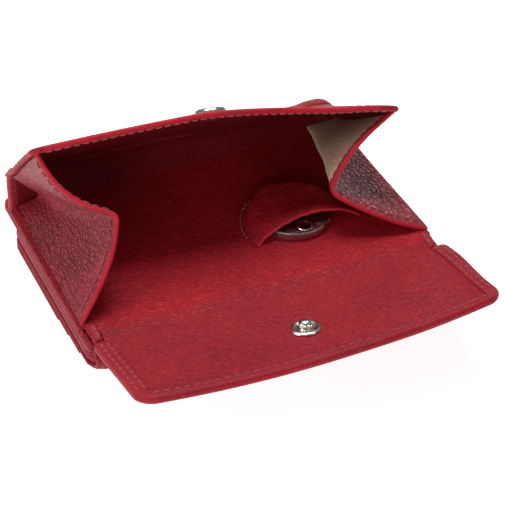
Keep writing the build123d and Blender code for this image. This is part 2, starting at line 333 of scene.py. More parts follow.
class Sheet:
    """Where a sheet of leather lies, and how thick it is above and below that surface."""

    def __init__(self, place, above, below, flip=False):
        self.place = place
        self.above = above if callable(above) else lambda x, y: above
        self.below = below if callable(below) else lambda x, y: below
        self.flip = flip

    def normal(self, x, y):
        step = 0.05 * mm
        across = self.place(x + step, y) - self.place(x - step, y)
        along = self.place(x, y + step) - self.place(x, y - step)
        up = across.cross(along).normalized()
        return -up if self.flip else up

    def at(self, x, y, height=0.0):
        return self.place(x, y) + self.normal(x, y) * height

    def top(self, x, y, lift=0.0):
        return self.at(x, y, self.above(x, y) + lift)

    def bottom(self, x, y, lift=0.0):
        return self.at(x, y, -self.below(x, y) - lift)


def grid_lines(start, end, spacing, rim, rim_at_start, rim_at_end, extra=()):
    """Places across a panel: close together over a rounded rim, even between, and where something steps."""
    turns = 6
    over_rim = [rim * (1 - math.cos(math.pi / 2 * k / turns)) for k in range(turns + 1)]
    low = [start + k for k in over_rim] if rim_at_start else [start]
    high = [end - k for k in over_rim] if rim_at_end else [end]
    nearest = 0.18 * mm
    count = max(2, round((high[-1] - low[-1]) / spacing))
    middle = [mix(low[-1], high[-1], k / count) for k in range(1, count)]
    lines = low + high + middle
    for line in extra:
        if low[-1] < line < high[-1]:
            lines = [k for k in lines if abs(k - line) > nearest or k in low or k in high] + [line]
    return sorted(set(lines))


def panel(name, sheet, x_range, y_range, material, rims="xXyY", shape=None, spacing=1.5 * mm,
          extra_x=(), extra_y=(), rim=None):
    """A closed leather panel. rims names its rounded edges: x, X, y and Y are its low and high ends."""
    x0, x1 = x_range
    y0, y1 = y_range
    middle_x, middle_y = (x0 + x1) / 2, (y0 + y1) / 2
    rim = rim or (sheet.above(middle_x, middle_y) + sheet.below(middle_x, middle_y)) / 2
    xs = grid_lines(x0, x1, spacing, rim, "x" in rims, "X" in rims, extra_x)
    ys = grid_lines(y0, y1, spacing, rim, "y" in rims, "Y" in rims, extra_y)
    mesh = bmesh.new()
    tops, bottoms = [], []
    for y in ys:
        top_row, bottom_row = [], []
        for x in xs:
            edges = {"x": x - x0, "X": x1 - x, "y": y - y0, "Y": y1 - y}
            inside = min([edges[k] for k in rims], default=rim)
            share = math.sqrt(max(0.0, 1 - (1 - clamp(inside / rim)) ** 2))
            px, py = shape(x, y) if shape else (x, y)
            above, below = sheet.above(px, py), sheet.below(px, py)
            middle, half = (above - below) / 2, (above + below) / 2
            spot, up = sheet.place(px, py), sheet.normal(px, py)
            top_row.append(mesh.verts.new(spot + up * (middle + half * share)))
            bottom_row.append(mesh.verts.new(spot + up * (middle - half * share)))
        tops.append(top_row)
        bottoms.append(bottom_row)
    last_x, last_y = len(xs) - 1, len(ys) - 1
    for j in range(last_y):
        for i in range(last_x):
            mesh.faces.new((tops[j][i], tops[j][i + 1], tops[j + 1][i + 1], tops[j + 1][i]))
            mesh.faces.new((bottoms[j][i], bottoms[j + 1][i], bottoms[j + 1][i + 1], bottoms[j][i + 1]))
    for j in range(last_y):
        for i in (0, last_x):
            mesh.faces.new((tops[j][i], tops[j + 1][i], bottoms[j + 1][i], bottoms[j][i]))
    for i in range(last_x):
        for j in (0, last_y):
            mesh.faces.new((tops[j][i], tops[j][i + 1], bottoms[j][i + 1], bottoms[j][i]))
    return piece(name, mesh, material)


def corner(a, b, radius):
    """Turns the square corner a, b of a grid into a round one; a and b run out from the corner's centre."""
    reach = max(a, b)
    if a <= 0 or b <= 0:
        return a, b
    p, q = a / reach, b / reach
    return reach * p * math.sqrt(1 - q * q / 2), reach * q * math.sqrt(1 - p * p / 2)


def rounded(x_range, y_range, low_radius, high_radius):
    """A panel outline with round corners at its low-Y and high-Y ends; 0 leaves them square."""
    centre = (x_range[0] + x_range[1]) / 2
    half = (x_range[1] - x_range[0]) / 2

    def shape(x, y):
        side = 1 if x >= centre else -1
        out = abs(x - centre)
        for radius, line, way in ((low_radius, y_range[0], -1), (high_radius, y_range[1], 1)):
            if radius:
                a, b = out - (half - radius), (y - line) * way + radius
                if a > 0 and b > 0:
                    a, b = corner(a, b, radius)
                    out, y = half - radius + a, line + way * (b - radius)
        return centre + side * out, y

    return shape


def flat_place(z):
    return lambda x, y: Vector((x, y, z + wobble(x, y, 21 * mm, 0.12 * mm, z * 900)))


def ring_about(mesh, middle, side, other, radius, around):
    """The vertices of a circle about a line."""
    ring = []
    for k in range(around):
        angle = math.tau * k / around
        ring.append(mesh.verts.new(middle + (side * math.cos(angle) + other * math.sin(angle)) * radius))
    return ring


def capsule(mesh, start, end, radius):
    """One stitch: a short round bar with rounded ends."""
    along = end - start
    length = along.length
    along.normalize()
    side = along.orthogonal().normalized()
    other = along.cross(side)
    rings = []
    around = 8
    far = length / radius
    steps = ((0.0, 0.02), (0.5, 0.72), (1.0, 1.0), (far - 1.0, 1.0), (far - 0.5, 0.72), (far, 0.02))
    for forward, wide in steps:
        middle = start + along * (forward * radius)
        rings.append(ring_about(mesh, middle, side, other, radius * wide, around))
    for low, high in zip(rings, rings[1:]):
        for k in range(around):
            mesh.faces.new((low[k], low[k - 1], high[k - 1], high[k]))
    mesh.faces.new(rings[0])
    mesh.faces.new(reversed(rings[-1]))


def stitches(name, points, material="thread", pitch=2.6 * mm, length=1.9 * mm, radius=0.26 * mm):
    """A row of stitches along points in space, dipping into the leather at their ends."""
    mesh = bmesh.new()
    reach = [0.0]
    for a, b in zip(points, points[1:]):
        reach.append(reach[-1] + (b - a).length)

    def spot(distance):
        k = 0
        while k < len(reach) - 2 and reach[k + 1] < distance:
            k += 1
        span = max(reach[k + 1] - reach[k], 1e-9)
        return mix(points[k], points[k + 1], clamp((distance - reach[k]) / span))

    count = int(reach[-1] / pitch)
    for k in range(count):
        start = (k + 0.5) * reach[-1] / count - length / 2
        jitter = Vector((noise.noise(Vector((k, 1.3, 0))), noise.noise(Vector((k, 7.7, 0))), 0)) * 0.12 * mm
        capsule(mesh, spot(start) + jitter, spot(start + length) - jitter, radius)
    return piece(name, mesh, material, 80)


def line(start, end, count=40):
    return [(mix(start[0], end[0], k / count), mix(start[1], end[1], k / count)) for k in range(count + 1)]


def lathe(name, profile, centre, up, material, turns=64):
    """A round piece from (radius, height) points, about a line through centre."""
    mesh = bmesh.new()
    up = up.normalized()
    side = Vector((1, 0, 0)).cross(up).normalized()
    other = up.cross(side)
    rings = []
    for radius, height in profile:
        ring = []
        for k in range(turns):
            angle = math.tau * k / turns
            out = side * math.cos(angle) + other * math.sin(angle)
            ring.append(mesh.verts.new(centre + up * height + out * max(radius, 0.001 * mm)))
        rings.append(ring)
    closed = profile[0][0] > 0.002 * mm
    pairs = list(zip(rings, rings[1:])) + ([(rings[-1], rings[0])] if closed else [])
    for low, high in pairs:
        for k in range(turns):
            mesh.faces.new((low[k - 1], low[k], high[k], high[k - 1]))
    return piece(name, mesh, material, 35)


def tube(name, points, radius, material, around=12):
    """A rolled edge or cord of leather along points in space, with round ends."""
    mesh = bmesh.new()
    rings = []
    last = len(points) - 1
    side = (points[1] - points[0]).orthogonal().normalized()
    ends = [(0, 0.05, -0.9), (0, 0.6, -0.7)] + [(k, 1.0, 0.0) for k in range(last + 1)]
    ends += [(last, 0.6, 0.7), (last, 0.05, 0.9)]
    for k, wide, past in ends:
        along = (points[min(k + 1, last)] - points[max(k - 1, 0)]).normalized()
        side = (side - along * side.dot(along)).normalized()
        other = along.cross(side)
        middle = points[k] + along * (past * radius)
        rings.append(ring_about(mesh, middle, side, other, radius * wide, around))
    for low, high in zip(rings, rings[1:]):
        for turn in range(around):
            mesh.faces.new((low[turn - 1], low[turn], high[turn], high[turn - 1]))
    mesh.faces.new(rings[0])
    mesh.faces.new(rings[-1])
    return piece(name, mesh, material, 60)


# Riding on the bodies
def with_coin_box(made, *nodes):
    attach(made, "coin_section")
    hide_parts(*nodes)


def with_lid(made, *nodes):
    """Rides on the lid, on a mesh of its own."""
    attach(made, "lid")
    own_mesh(made)
    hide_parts(*nodes)


# Card section
def card_section():
    front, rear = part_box("card_cover")[0].y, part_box("card_cover")[1].y
    across = (-half_width, half_width)
    for node in ("card_pocket_rear", "card_pocket_middle", "card_pocket_front"):
        low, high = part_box(node)
        sheet = Sheet(flat_place((low.z + high.z) / 2), (high.z - low.z) / 2, (high.z - low.z) / 2)
        deep = (low.y, high.y)
        made = panel(node + "_leather", sheet, across, deep, "outer",
                     shape=rounded(across, deep, 0, 5 * mm), spacing=3 * mm)
        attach(made, "card_section")
        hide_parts(node)
        seam = [sheet.bottom(x, low.y + 2.2 * mm, -0.14 * mm) for x, _ in
                line((-half_width + 3 * mm, 0), (half_width - 3 * mm, 0))]
        edge = stitches(node + "_mouth_seam", seam, radius=0.18 * mm)
        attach(edge, "card_section")
    for node in ("card_panel", "card_cover"):
        low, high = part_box(node)
        sheet = Sheet(flat_place((low.z + high.z) / 2), (high.z - low.z) / 2, (high.z - low.z) / 2)
        deep = (front, rear)
        rim = min(1.2 * mm, (high.z - low.z) / 2)
        made = panel(node + "_leather", sheet, across, deep, "outer",
                     shape=rounded(across, deep, 5 * mm, 5 * mm), spacing=3 * mm, rim=rim)
        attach(made, "card_section")
        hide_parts(node)
    frame["nodes"]["card_board"].data.materials.clear()
    frame["nodes"]["card_board"].data.materials.append(finish["board"])
    for side in (-1, 1):
        x = side * (half_width - 2.2 * mm)
        seam_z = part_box("card_panel")[0].z - 0.02 * mm
        seam = [Vector((x, mix(front + 6 * mm, rear - 6 * mm, k / 40), seam_z)) for k in range(41)]
        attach(stitches("card_side_seam_" + ("right" if side > 0 else "left"), seam), "card_section")


def spine():
    """The leather loop that joins the card section to the coin section at the front."""
    radius = 2.9 * mm
    loop = 12 * mm
    low, high = spine_line.z - radius, spine_line.z + radius - 0.7 * mm

    def place(x, y):
        turn = math.pi * clamp(y / loop)
        depth = math.sin(turn) * 2.4 * mm
        return Vector((x, spine_line.y + 2.2 * mm - depth, mix(low, high, (1 - math.cos(turn)) / 2)))

    across = (-half_width + 0.5 * mm, half_width - 0.5 * mm)
    made = panel("spine_leather", Sheet(place, 0.6 * mm, 0.6 * mm), across, (0, loop), "outer",
                 spacing=1.2 * mm)
    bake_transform(made)
    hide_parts("spine")


# Coin box
def base():
    low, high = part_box("base_outer")
    across = (-half_width - 0.4 * mm, half_width + 0.4 * mm)
    deep = (low.y, high.y + 1.6 * mm)
    split = mix(low.z, high.z, 0.52)
    line_ply = 0.16 * mm
    plies = (("base_leather", low.z, split - line_ply, 0.0, "outer"),
             ("base_cut_edge", split - line_ply, split + line_ply, -0.08 * mm, "edge"),
             ("base_rim_ply", split + line_ply, high.z, 0.1 * mm, "outer"))
    for name, z0, z1, inset, material in plies:
        sheet = Sheet(flat_place((z0 + z1) / 2), (z1 - z0) / 2, (z1 - z0) / 2)
        x_range = (across[0] + inset, across[1] - inset)
        y_range = (deep[0] + inset, deep[1] - inset)
        made = panel(name, sheet, x_range, y_range, material,
                     shape=rounded(x_range, y_range, 1.5 * mm, 3 * mm), spacing=2.5 * mm)
        with_coin_box(made, *(["base_outer"] if name == "base_leather" else []))
    frame["nodes"]["base_board"].data.materials.clear()
    frame["nodes"]["base_board"].data.materials.append(finish["board"])
    seam_reach = half_width - 6 * mm
    seam = [Vector((x, high.y - 1 * mm, high.z)) for x, _ in line((-seam_reach, 0), (seam_reach, 0))]
    with_coin_box(stitches("base_rear_seam", seam))


def side_welts():
    """Turned leather along each side of the base, from rear wall to front fold, sewn to the gusset."""
    top_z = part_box("base_outer")[1].z
    for side, label in ((-1, "left"), (1, "right")):
        def place(x, y):
            fall = 1.1 * mm * ease(side * x, -0.6 * mm, 2.2 * mm)
            return Vector((side * (half_width - 1.9 * mm) + x, y, top_z + 1.5 * mm - fall))

        sheet = Sheet(place, 0.55 * mm, 0.9 * mm)
        deep = (front_fold.y - 0.4 * mm, box_rear - 0.5 * mm)
        made = panel(f"{label}_side_welt", sheet, (-2.4 * mm, 2.2 * mm), deep, "outer",
                     spacing=0.9 * mm, rim=0.7 * mm)
        with_coin_box(made)
        sewn = line((0, front_fold.y + 2 * mm), (0, box_rear - 3 * mm))
        seam = [sheet.top(side * 0.2 * mm, y) for _, y in sewn]
        with_coin_box(stitches(f"{label}_side_seam", seam))
        edge = [Vector((side * (half_width - 0.25 * mm), y, top_z + 0.25 * mm)) for _, y in
                line((0, front_fold.y - 1 * mm), (0, box_rear + 3 * mm))]
        with_coin_box(tube(f"{label}_cut_edge", edge, 0.16 * mm, "edge"))


neck = front_fold.y - flap_crease.y
flap_rise = math.radians(13.8)


def front_profile(x, y):
    """Floor, opened front wall and flap as one surface. y runs from the front fold to the front."""
    sag = -0.35 * mm * math.exp(-((y - neck + 0.6 * mm) / (1.5 * mm)) ** 2)
    over = max(0.0, y - neck)
    bend = 1.6 * mm
    if over > bend:
        climb = over * math.sin(flap_rise) - math.sin(flap_rise) * bend / 2
    else:
        climb = math.sin(flap_rise) * over * over / (2 * bend)
    forward = min(y, neck) + over * math.cos(flap_rise)
    curl = 1.7 * mm * ease(x, 40 * mm, 53 * mm) * ease(over, 0, 4 * mm) * (1 - ease(over, 9 * mm, 26 * mm))
    lift = curl + wobble(x, y, 30 * mm, 0.35 * mm, 3.1) * ease(over, 2 * mm, 10 * mm)
    return Vector((x, front_fold.y - forward, floor_z + climb + sag + lift))


def flap_half(y):
    """Half the width of the neck and of the flap."""
    return mix(51.2 * mm, flap_half_width, ease(y, neck + 0.2 * mm, neck + 2.4 * mm))


flap_end = 35 * mm
flap_bow = 5.5 * mm


def flap_shape(inset):
    """Outline of the flap, with round corners and an arched front edge, drawn in by inset."""
    half = flap_half_width - inset
    far = neck + flap_end - inset
    round_off = rounded((-half, half), (0, far), 0, 5 * mm - inset * 0.6)

    def shape(x, y):
        px, py = round_off(x, y)
        over = ease(py, neck + 3 * mm, far)
        arch = flap_bow * (1 - (px / half) ** 2)
        px *= (flap_half(py) - inset) / half
        return px, py + arch * over

    return shape


def border_step(x, y):
    """1 on the turned-in border of the neck and flap, 0 on the panel inside it."""
    side = flap_half(y) - abs(x)
    wide = mix(2.6 * mm, 4.6 * mm, ease(y, neck, neck + 3 * mm))
    front = neck + flap_end + flap_bow * (1 - (x / flap_half_width) ** 2) - y
    by_side = 1 - ease(side, wide - 0.35 * mm, wide + 0.35 * mm)
    by_front = 1 - ease(front, 3.0 * mm, 3.6 * mm)
    shoulder = ease(abs(y - neck - 0.6 * mm), 0.3 * mm, 0.9 * mm)
    return max(by_side * mix(0.35, 1.0, shoulder), by_front)


def front_leathers():
    inner = Sheet(front_profile, 0.0, 0.8 * mm, flip=True)
    seam_y = neck * 0.55
    floor_start = front_fold.y - box_rear
    far = neck + flap_end
    made = panel("floor_leather", inner, (-51.4 * mm, 51.4 * mm), (floor_start, seam_y), "floor",
                 rims="", spacing=1.3 * mm)
    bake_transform(made)
    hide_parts("floor_lining", "front_wall_lining")

    made = panel("flap_inner_leather", inner, (-49.5 * mm, 49.5 * mm), (seam_y, far - 1.6 * mm), "flap",
                 rims="", shape=flap_shape(1.6 * mm), spacing=1.1 * mm)
    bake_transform(made)
    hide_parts("flap_lining")

    def above(x, y):
        return mix(-0.75 * mm, 0.55 * mm, border_step(x, y))

    outer = Sheet(front_profile, above, 1.75 * mm, flip=True)
    from_side = (1.8, 2.2, 2.5, 2.8, 3.2, 3.9, 4.3, 4.5, 4.7, 4.9, 5.4)
    sides = [s * (flap_half_width - d * mm) for s in (-1, 1) for d in from_side]
    ends = [neck + k * 0.3 * mm for k in range(-4, 10)] + [far - d * mm for d in (2.7, 3.0, 3.2, 3.4, 3.7)]
    made = panel("flap_outer_leather", outer, (-flap_half_width, flap_half_width), (0.3 * mm, far),
                 "border", shape=flap_shape(0.0), spacing=1.3 * mm, extra_x=sides,
                 extra_y=ends, rim=1.15 * mm)
    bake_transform(made)
    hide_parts("flap_outer", "front_wall_outer")

    outline = flap_shape(0.0)
    for label, side in (("left", -1), ("right", 1)):
        for row, inset in (("outer", 1.9 * mm), ("inner", 3.7 * mm)):
            x = side * (flap_half_width - inset)
            path = line((x, neck + 2.5 * mm), (x, far - 5 * mm))
            made = stitches(f"flap_{label}_{row}_seam", [outer.top(*outline(x, y)) for x, y in path])
            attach(made, "flap")
        path = line((side * 50.2 * mm, 1.5 * mm), (side * 50.2 * mm, neck - 0.5 * mm), 12)
        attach(stitches(f"neck_{label}_seam", [outer.top(x * 0.985, y) for x, y in path]), "front_wall")
    path = line((-48.3 * mm, far - 2.4 * mm), (48.3 * mm, far - 2.4 * mm), 80)
    made = stitches("flap_front_seam", [outer.top(*outline(x, y)) for x, y in path])
    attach(made, "flap")
    path = line((-49 * mm, far - 2.4 * mm), (49 * mm, far - 2.4 * mm), 80)
    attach(stitches("flap_front_seam_outside", [outer.bottom(*outline(x, y)) for x, y in path]), "flap")


# Chip pocket
pocket_x = (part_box("chip_pocket")[0].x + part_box("chip_pocket")[1].x) / 2
pocket_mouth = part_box("chip_pocket")[0].y
pocket_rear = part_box("chip_pocket")[1].y


def chip_pocket():
    """The floor leather that bulges over the chip, sewn down along an arch; its lip gapes at the front."""
    radius = 16.5 * mm
    centre_y = pocket_rear - radius
    chip_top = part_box("trolley_chip")[1].z - floor_z

    chip_low, chip_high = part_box("trolley_chip")
    chip_middle = (chip_low + chip_high) / 2
    chip_radius = (chip_high.x - chip_low.x) / 2

    def place(x, y):
        out = x - pocket_x
        inside = radius - math.hypot(out, max(0.0, y - centre_y))
        past = max(0.0, math.hypot(x - chip_middle.x, y - chip_middle.y) - chip_radius - 0.2 * mm)
        share = past / max(past + max(inside, 0.0), 1e-9)
        bulge = (chip_top + 0.75 * mm) * (1 - ease(share, 0.0, 1.0))
        lip = math.sin(math.pi * clamp((out + radius - 1.6 * mm) / (2 * radius - 1.6 * mm))) ** 0.6
        back = ease(y, pocket_mouth, pocket_mouth + 13 * mm)
        lifted = 4.9 * mm * lip * (1 + 0.16 * out / radius)
        height = mix(max(lifted, 0.3 * mm), bulge, back)
        ragged = wobble(x, y, 2.0 * mm, 0.22 * mm, 5.0) * (1 - ease(y, pocket_mouth, pocket_mouth + 3 * mm))
        drawn = 2.2 * mm * lip * (1 - ease(y, pocket_mouth, pocket_mouth + 6 * mm))
        crease = wobble(x, y * 3, 6 * mm, 0.45 * mm, 8.0) * ease(inside, 0.5 * mm, 4 * mm) * back
        return Vector((x, y + drawn + ragged, floor_z + 0.1 * mm + height + ragged + crease * 0.6))

    across = (pocket_x - radius, pocket_x + radius)
    deep = (pocket_mouth, pocket_rear)
    sheet = Sheet(place, 0.25 * mm, 0.35 * mm)
    made = panel("chip_pocket_leather", sheet, across, deep, "floor", spacing=0.8 * mm,
                 shape=rounded(across, deep, 0, radius))
    with_coin_box(made, "chip_pocket")

    lip = [sheet.at(x, pocket_mouth + 0.1 * mm, -0.05 * mm) for x, _ in
           line((pocket_x - radius + 1.2 * mm, 0), (pocket_x + radius - 0.4 * mm, 0), 70)]
    with_coin_box(tube("chip_pocket_lip", lip, 0.42 * mm, "rim"))

    arch = []
    arch_radius = radius + 0.5 * mm
    for k in range(61):
        angle = math.pi * (k / 60 * 1.06 - 0.03)
        x = pocket_x + arch_radius * math.cos(angle)
        y = centre_y + arch_radius * math.sin(angle)
        arch.append(Vector((x, y, floor_z + 0.16 * mm)))
    with_coin_box(stitches("chip_pocket_seam", arch, "pale_thread", 1.7 * mm, 1.15 * mm, 0.15 * mm))


def chip():
    node = frame["nodes"]["trolley_chip"]
    node.data.materials.clear()
    node.data.materials.append(finish["steel"])
    low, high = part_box("trolley_chip")
    centre = Vector(((low.x + high.x) / 2, (low.y + high.y) / 2, high.z))
    radius = (high.x - low.x) / 2
    rim_profile = ((0.56, -0.02), (0.52, 0.07), (0.40, 0.09), (0.28, 0.02), (0.3, -0.1), (0.55, -0.1))
    profile = [(radius - inset * mm, height * mm) for inset, height in rim_profile]
    rim = lathe("chip_raised_rim", profile, centre, Vector((0, 0, 1)), "nickel", 96)
    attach(rim, "chip")
    hole = Vector((centre.x, low.y + 3.6 * mm, high.z))
    profile = [(1.88 * mm, -0.1 * mm), (1.92 * mm, 0.08 * mm), (2.1 * mm, 0.12 * mm), (2.3 * mm, 0.03 * mm),
               (2.3 * mm, -0.1 * mm)]
    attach(lathe("chip_hole_rim", profile, hole, Vector((0, 0, 1)), "nickel"), "chip")


# Lid
def lid_edge(x):
    """The lid's free edge: high and set back on the left, dropping to the right."""
    t = max(0.0, (x + 5 * mm) / (58.6 * mm))
    lifted = 1.9 * mm * ease(x, 30 * mm, 53 * mm)
    return Vector((x, 3.3 * mm - 0.084 * x - 0.445 * x * x, 50.8 * mm - 11.4 * mm * t ** 1.35 + lifted))


def hinge_drop(x):
    """The bend over the hinge humps up a little on the right, then falls away at its end."""
    falling = 2.1 * mm * ease(x, -10 * mm, 15 * mm) + 6.0 * mm * ease(x, 44.5 * mm, 50 * mm)
    return falling - 1.1 * mm * ease(x, 36.5 * mm, 41 * mm)


def lid_place(x, y):
    """y runs from the hinge, 0, to the free edge, lid_length."""
    s = y / lid_length
    start = Vector((x, hinge.y, hinge.z - hinge_drop(x)))
    end = lid_edge(x)
    along = end - start
    out = Vector((0, -along.z, along.y)).normalized() * -1
    deep = mix(0.5 * mm, 0.8 * mm, ease(x, -50 * mm, -20 * mm)) - 1.6 * mm * ease(x, 34 * mm, 50 * mm)
    bulge = deep * math.sin(math.pi * clamp(s))
    sunk = 1.0 * mm
    return start + along * s + out * (bulge - sunk * ease(s, 0, 0.3) + wobble(x, y, 34 * mm, 0.25 * mm, 6.0))


def lid():
    across = (-lid_half_width, lid_half_width)
    deep = (1.5 * mm, lid_length)
    outline = rounded(across, deep, 0, 3 * mm)

    def below(x, y):
        near = min(lid_half_width - abs(x), lid_length - y)
        return mix(0.85 * mm, 0.0, ease(near, 2.0 * mm, 2.5 * mm))

    outer = Sheet(lid_place, 0.75 * mm, below, flip=True)
    border = (1.6, 2.0, 2.4, 2.6, 2.8, 3.1, 3.6)
    steps = [s * (lid_half_width - d * mm) for s in (-1, 1) for d in border]
    ends = [lid_length - d * mm for d in border]
    made = panel("lid_outer_leather", outer, across, deep, "outer", shape=outline,
                 spacing=1.8 * mm, extra_x=steps, extra_y=ends, rim=0.8 * mm)
    with_lid(made, "lid_outer")
    rim_x, rim_y = 52.5 * mm, 39.2 * mm
    rim_path = line((-rim_x, 34 * mm), (-rim_x, 37 * mm), 6)
    rim_path += line((-50 * mm, rim_y), (50 * mm, rim_y), 80)
    rim_path += line((rim_x, 37 * mm), (rim_x, 34 * mm), 6)
    round_rim = [outer.at(x, y, -0.05 * mm) for x, y in rim_path]
    with_lid(tube("lid_rolled_rim", round_rim, 0.84 * mm, "rim"))
    inner = Sheet(lid_place, -0.02 * mm, 0.75 * mm, flip=True)
    inside = (-51.1 * mm, 51.1 * mm)
    made = panel("lid_inner_leather", inner, inside, (1.5 * mm, 38.2 * mm), "smooth",
                 spacing=2 * mm, rims="xXY", rim=0.3 * mm)
    with_lid(made, "lid_lining")
    seam = [outer.bottom(x, 38.6 * mm, 0.1 * mm) for x, _ in line((-49.5 * mm, 0), (49.5 * mm, 0), 80)]
    with_lid(stitches("lid_front_seam", seam, "pale_thread", 2.5 * mm, 1.7 * mm, 0.15 * mm))
    seam = [outer.top(x, 37.0 * mm, -0.10 * mm) for x, _ in line((-50.5 * mm, 0), (50.5 * mm, 0), 80)]
    with_lid(stitches("lid_front_seam_outside", seam))
    for label, side in (("left", -1), ("right", 1)):
        seam = [outer.top(side * 50.9 * mm, y) for _, y in line((0, 5 * mm), (0, 36 * mm))]
        with_lid(stitches(f"lid_{label}_seam_outside", seam))


def rear_wall():
    """The rear wall and the bend over the hinge as one leather panel, with its lining."""
    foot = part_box("base_outer")[1].z
    wall_y = (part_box("rear_wall_lining")[0].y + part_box("rear_wall")[1].y) / 2
    straight = 8.5 * mm
    bend = 12 * mm

    def place(x, y):
        if y < straight:
            top = min(straight, hinge.z - hinge_drop(x) - 1.5 * mm - foot + 0.3 * mm)
            return Vector((x, wall_y, foot - 0.3 * mm + top * y / straight))
        t = (y - straight) / bend
        low = Vector((x, wall_y, foot - 0.3 * mm + straight))
        low.z = min(low.z, hinge.z - hinge_drop(x) - 1.5 * mm)
        knee = Vector((x, wall_y + 0.3 * mm, hinge.z - hinge_drop(x) + 2.0 * mm))
        high = lid_place(x, 7.5 * mm)
        return mix(mix(low, knee, t), mix(knee, high, t), t)

    across = (-52.7 * mm, 52.7 * mm)
    length = straight + bend

    def thick(x, y):
        return mix(1.6 * mm, 1.0 * mm, ease(y, straight, length))

    sheet = Sheet(place, thick, thick, flip=True)
    made = panel("rear_wall_leather", sheet, across, (0, length), "outer",
                 spacing=1.5 * mm, rims="xXY", rim=0.9 * mm)

    def lining_thick(x, y):
        return mix(thick(x, y) + 0.3 * mm, 0.65 * mm, ease(y, length - 6 * mm, length - 1 * mm))

    def lining_face(x, y):
        return mix(-0.7 * mm, -0.3 * mm, ease(y, length - 6 * mm, length))

    inner = Sheet(place, lining_face, lining_thick, flip=True)
    inside = panel("rear_wall_inner_leather", inner, (-51 * mm, 51 * mm), (0, length - 0.4 * mm), "smooth",
                   spacing=1.5 * mm, rims="xXY", rim=0.5 * mm)
    for thing in (made, inside):
        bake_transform(thing)
    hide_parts("rear_wall", "rear_fold")
    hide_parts("rear_wall_lining")
    for label, side in (("left", -1), ("right", 1)):
        seam = [place(side * 49.5 * mm, y) + Vector((0, thick(0, y), 0)) for y in
                (mix(1 * mm, straight, k / 12) for k in range(13))]
        with_coin_box(stitches(f"rear_wall_{label}_seam", seam))


# Gussets
def mirrored(side, point):
    return Vector((side * point[0], point[1], point[2])) * mm


# Each gusset runs from the base's side to its crease and on to the lid. In mm, with x out from the middle:
# the front and rear ends of the base line and the crease, and how the front edge bows between them.
gusset_lines = {
    "left": {"side": -1, "base_front": (51.9, -24.3, 13.2), "base_rear": (50.6, 30.5, 13.2),
             "crease_front": (35, -9.1, 33.8), "crease_rear": (43.0, 29.5, 15.8),
             "bow_low": (-2.2, -0.6, 0.8), "bow_high": (3.4, -1.2, -1.4), "lid_front": 37.6, "lid_rear": 3.5,
             "soft": 0.36},
    "right": {"side": 1, "base_front": (51.9, -24.3, 13.2), "base_rear": (50.6, 30.5, 13.2),
              "crease_front": (27, -12.5, 25), "crease_rear": (39.0, 29.5, 16.4),
              "bow_low": (0.6, -2.2, -1.2), "bow_high": (-2.6, 0.2, 1.0), "lid_front": 37.8, "lid_rear": 3.5,
              "soft": 0.25},
}
gusset_deep = 52 * mm
gusset_tall = 25 * mm


def gusset_place(shape, x, y):
    """x runs from the rear, 0, to the front edge; y from the base, 0, over the crease to the lid."""
    side = shape["side"]
    s = x / gusset_deep
    q = y / gusset_tall
    low = mix(mirrored(side, shape["base_rear"]), mirrored(side, shape["base_front"]), s)
    crease = mix(mirrored(side, shape["crease_rear"]), mirrored(side, shape["crease_front"]), s)
    lid_y = mix(shape["lid_rear"], shape["lid_front"], s) * mm
    high = lid_place(side * mix(51.5, 51.4, s) * mm, lid_y) + Vector((0, -0.5 * mm, -0.8 * mm))
    soft = mix(shape["soft"], 0.08, ease(s, 0.35, 1.0))
    if q < 1 - soft:
        spot = mix(low, crease, q)
    elif q > 1 + soft:
        spot = mix(crease, high, q - 1)
    else:
        t = (q - 1 + soft) / (2 * soft)
        first = mix(low, crease, 1 - soft)
        last = mix(crease, high, soft)
        spot = mix(mix(first, crease, t), mix(crease, last, t), t)
    bow = mirrored(side, shape["bow_low"] if q < 1 else shape["bow_high"])
    spot += bow * (math.sin(math.pi * (q % 1.0)) * ease(s, 0.1, 1.0))
    uneven = Vector((wobble(x, y, 11 * mm, 0.5 * mm, 2.0 + side), 0, 0))
    return spot + uneven * math.sin(math.pi * clamp(q / 2))


